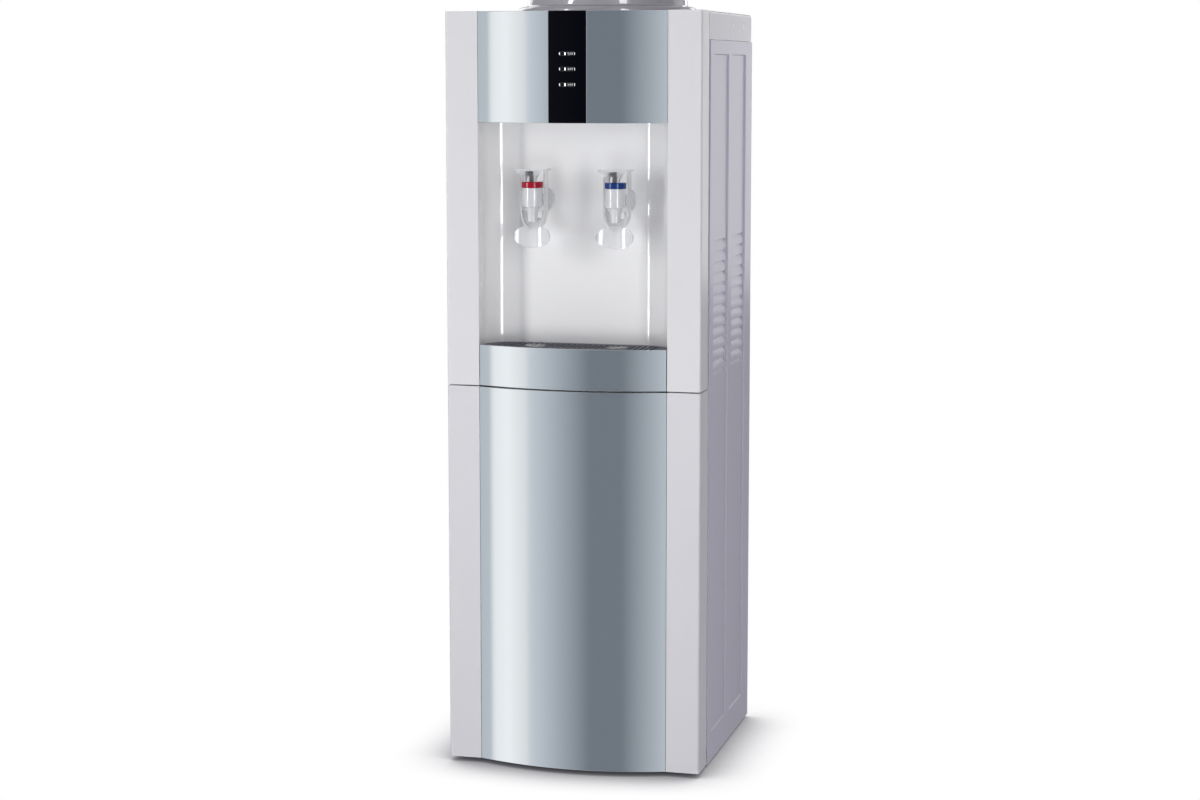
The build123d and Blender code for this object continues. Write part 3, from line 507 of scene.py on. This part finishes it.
for nm, cx in (("rosette_left", -52.6), ("rosette_right", 52.6)):
    bm = bmesh.new()
    n = 64
    prof = [(9.7, 531.75), (9.7, 532.35), (10.0, 532.62), (11.4, 532.66), (12.0, 532.3), (12.1, 531.75)]
    rings = [[bm.verts.new((cx + r * math.cos(2 * math.pi * i / n), -125.0 + r * math.sin(2 * math.pi * i / n), z)) for r, z in prof]
             for i in range(n)]
    for i in range(n):
        for j in range(len(prof)):
            k2 = (j + 1) % len(prof)
            bm.faces.new((rings[i][j], rings[(i + 1) % n][j], rings[(i + 1) % n][k2], rings[i][k2]))
    for s6 in range(4):
        a = math.radians(22.5 + 45 * s6)
        ux, uy = math.cos(a), math.sin(a)
        w = 0.75
        c8 = []
        for zz in (531.75, 532.45):
            for su, sv in ((-1, -1), (1, -1), (1, 1), (-1, 1)):
                c8.append(bm.verts.new((cx + ux * 9.9 * su - uy * w * sv, -125.0 + uy * 9.9 * su + ux * w * sv, zz)))
        for q in ((0, 1, 2, 3), (4, 5, 6, 7), (0, 1, 5, 4), (1, 2, 6, 5), (2, 3, 7, 6), (3, 0, 4, 7)):
            bm.faces.new([c8[t] for t in q])
    piece(nm, bm, "rosette_plastic", "grille", bevel=0.15, segments=2, angle=40)

# ---------------------------------------------------------------- floor, backdrop and light
ENV = 0.155


def emission_world():
    w = bpy.data.worlds.new("studio")
    bpy.context.scene.world = w
    w.use_nodes = True
    t = w.node_tree
    t.nodes.clear()
    out = t.nodes.new("ShaderNodeOutputWorld")
    co = t.nodes.new("ShaderNodeTexCoord")
    sep = t.nodes.new("ShaderNodeSeparateXYZ")
    t.links.new(co.outputs["Generated"], sep.inputs[0])
    neg = t.nodes.new("ShaderNodeMath")
    neg.operation = "MULTIPLY"
    neg.inputs[1].default_value = -1.0
    t.links.new(sep.outputs["Y"], neg.inputs[0])
    at = t.nodes.new("ShaderNodeMath")
    at.operation = "ARCTAN2"
    t.links.new(sep.outputs["X"], at.inputs[0])
    t.links.new(neg.outputs[0], at.inputs[1])
    mr = t.nodes.new("ShaderNodeMapRange")
    mr.inputs["From Min"].default_value = -math.pi
    mr.inputs["From Max"].default_value = math.pi
    t.links.new(at.outputs[0], mr.inputs["Value"])
    ramp = t.nodes.new("ShaderNodeValToRGB")
    ramp.color_ramp.interpolation = "LINEAR"
    cold, mid, warm = (0.90, 1.0, 1.12), (0.96, 1.0, 1.04), (1.01, 1.0, 0.975)
    # what the gloss sees round the object, by azimuth in degrees
    wall_left = [(-180, .50, mid), (-110, .50, mid), (-75, .70, mid), (-52.5, .76, mid)]
    card_left = [(-51.8, 1.22, warm), (-44, 1.33, warm), (-34.3, 1.06, warm)]
    card_dark = [(-33.5, .90, mid), (-6, .265, cold), (8, .265, cold), (31, .85, mid)]
    card_right = [(32.5, 1.35, warm), (46, 1.35, warm)]
    wall_right = [(47.5, .50, mid), (70, .40, mid), (110, .40, mid), (180, .50, mid)]
    stops = wall_left + card_left + card_dark + card_right + wall_right
    e = ramp.color_ramp.elements
    while len(e) > 1:
        e.remove(e[-1])
    e[0].position = 0.0
    e[0].color = (*[stops[0][1] * c for c in stops[0][2]], 1)
    for a, v, c in stops[1:]:
        n = e.new((a + 180) / 360)
        n.color = (*[v * x for x in c], 1)
    t.links.new(mr.outputs[0], ramp.inputs[0])
    studio = t.nodes.new("ShaderNodeBackground")
    t.links.new(ramp.outputs[0], studio.inputs["Color"])
    seen = t.nodes.new("ShaderNodeBackground")
    seen.inputs["Color"].default_value = (1, 1, 1, 1)
    lp = t.nodes.new("ShaderNodeLightPath")
    soft = t.nodes.new("ShaderNodeBackground")
    soft.inputs["Color"].default_value = (0.94, 0.92, 1.0, 1)
    soft.inputs["Strength"].default_value = ENV
    kind = t.nodes.new("ShaderNodeMixShader")
    t.links.new(lp.outputs["Is Glossy Ray"], kind.inputs[0])
    t.links.new(soft.outputs[0], kind.inputs[1])
    t.links.new(studio.outputs[0], kind.inputs[2])
    mix = t.nodes.new("ShaderNodeMixShader")
    t.links.new(lp.outputs["Is Camera Ray"], mix.inputs[0])
    t.links.new(kind.outputs[0], mix.inputs[1])
    t.links.new(seen.outputs[0], mix.inputs[2])
    t.links.new(mix.outputs[0], out.inputs[0])


emission_world()

bm = bmesh.new()
bmesh.ops.create_circle(bm, cap_ends=True, segments=96, radius=9.0)
floor_mesh = bpy.data.meshes.new("floor")
bm.to_mesh(floor_mesh)
bm.free()
floor = bpy.data.objects.new("floor", floor_mesh)
bpy.context.scene.collection.objects.link(floor)
floor.visible_glossy = False
fm = bpy.data.materials.new("floor_paper")
fm.use_nodes = True
ft = fm.node_tree
fb = ft.nodes["Principled BSDF"]
ft.nodes.remove(fb)
# floor seen by the camera: emission that stays white away from the object and darkens with ambient occlusion near it, a
# painted contact shadow; all other rays see a plain diffuse floor
ao = ft.nodes.new("ShaderNodeAmbientOcclusion")
ao.inputs["Distance"].default_value = 0.085
ao.samples = 16
painted_shadow_ramp = ft.nodes.new("ShaderNodeValToRGB")
painted_shadow_stops = painted_shadow_ramp.color_ramp.elements
painted_shadow_stops[0].position, painted_shadow_stops[0].color = 0.0, (0.03, 0.03, 0.035, 1)
painted_shadow_stops[1].position, painted_shadow_stops[1].color = 0.97, (1, 1, 1, 1)
n = painted_shadow_stops.new(0.5)
n.color = (0.34, 0.34, 0.36, 1)
n = painted_shadow_stops.new(0.8)
n.color = (0.82, 0.82, 0.835, 1)
ft.links.new(ao.outputs["AO"], painted_shadow_ramp.inputs[0])
d1 = ft.nodes.new("ShaderNodeEmission")
ft.links.new(painted_shadow_ramp.outputs[0], d1.inputs["Color"])
d2 = ft.nodes.new("ShaderNodeBsdfDiffuse")
d2.inputs["Color"].default_value = (0.80, 0.80, 0.81, 1)
flp = ft.nodes.new("ShaderNodeLightPath")
fx = ft.nodes.new("ShaderNodeMixShader")
ft.links.new(flp.outputs["Is Camera Ray"], fx.inputs[0])
ft.links.new(d2.outputs[0], fx.inputs[1])
ft.links.new(d1.outputs[0], fx.inputs[2])
ft.links.new(fx.outputs[0], ft.nodes["Material Output"].inputs["Surface"])
floor_mesh.materials.append(fm)


def area(name, loc, target, sx, sy, power, glossy=True, colour=(1, 1, 1)):
    d = bpy.data.lights.new(name, "AREA")
    d.shape = "RECTANGLE"
    d.size, d.size_y = sx, sy
    d.energy = power
    d.color = colour
    o = bpy.data.objects.new(name, d)
    bpy.context.scene.collection.objects.link(o)
    o.location = loc
    o.rotation_mode = "QUATERNION"
    o.rotation_quaternion = (Vector(target) - Vector(loc)).to_track_quat("-Z", "Y")
    o.visible_glossy = glossy
    o.visible_camera = False
    return o


def at(az, dist, z):
    a = math.radians(az)
    return (dist * math.sin(a), -0.1337 - dist * math.cos(a), z)


strips = [area("strip_left", at(-42.0, 2.2, 0.95), (0, -0.1337, 0.95), 0.27, 1.86, 17.5),
          area("strip_right", at(39.0, 2.2, 0.95), (0, -0.1337, 0.95), 0.44, 1.86, 16.0)]
area("front_fill", (-0.3, -3.6, 0.95), (0, 0, 0.55), 2.6, 1.8, 5.8, glossy=False)
area("front_low", (0.0, -2.0, 0.30), (0, 0, 0.62), 1.8, 0.5, 4.2, glossy=False)
area("alcove_low", (-0.04, -1.05, 0.36), (-0.02, 0, 0.80), 0.5, 0.2, 0.7, glossy=False)
area("back_left", at(-140, 2.6, 1.3), (0, 0, 0.6), 1.2, 2.0, 8)
area("back_right", at(141, 2.6, 1.3), (0, 0, 0.6), 1.2, 2.0, 4.0)
area("back_edge", at(170, 2.6, 1.1), (0, 0, 0.55), 0.5, 1.5, 4)

# the bowed panels get their reflections from the studio walls instead
bare = bpy.data.collections.new("strip_receivers")
for nm in ("door_front", "control_front", "tray_front", "dark_strip"):
    bare.objects.link(bpy.data.objects[nm])
for c in bare.collection_objects:
    c.light_linking.link_state = "EXCLUDE"
for o in strips:
    o.light_linking.receiver_collection = bare
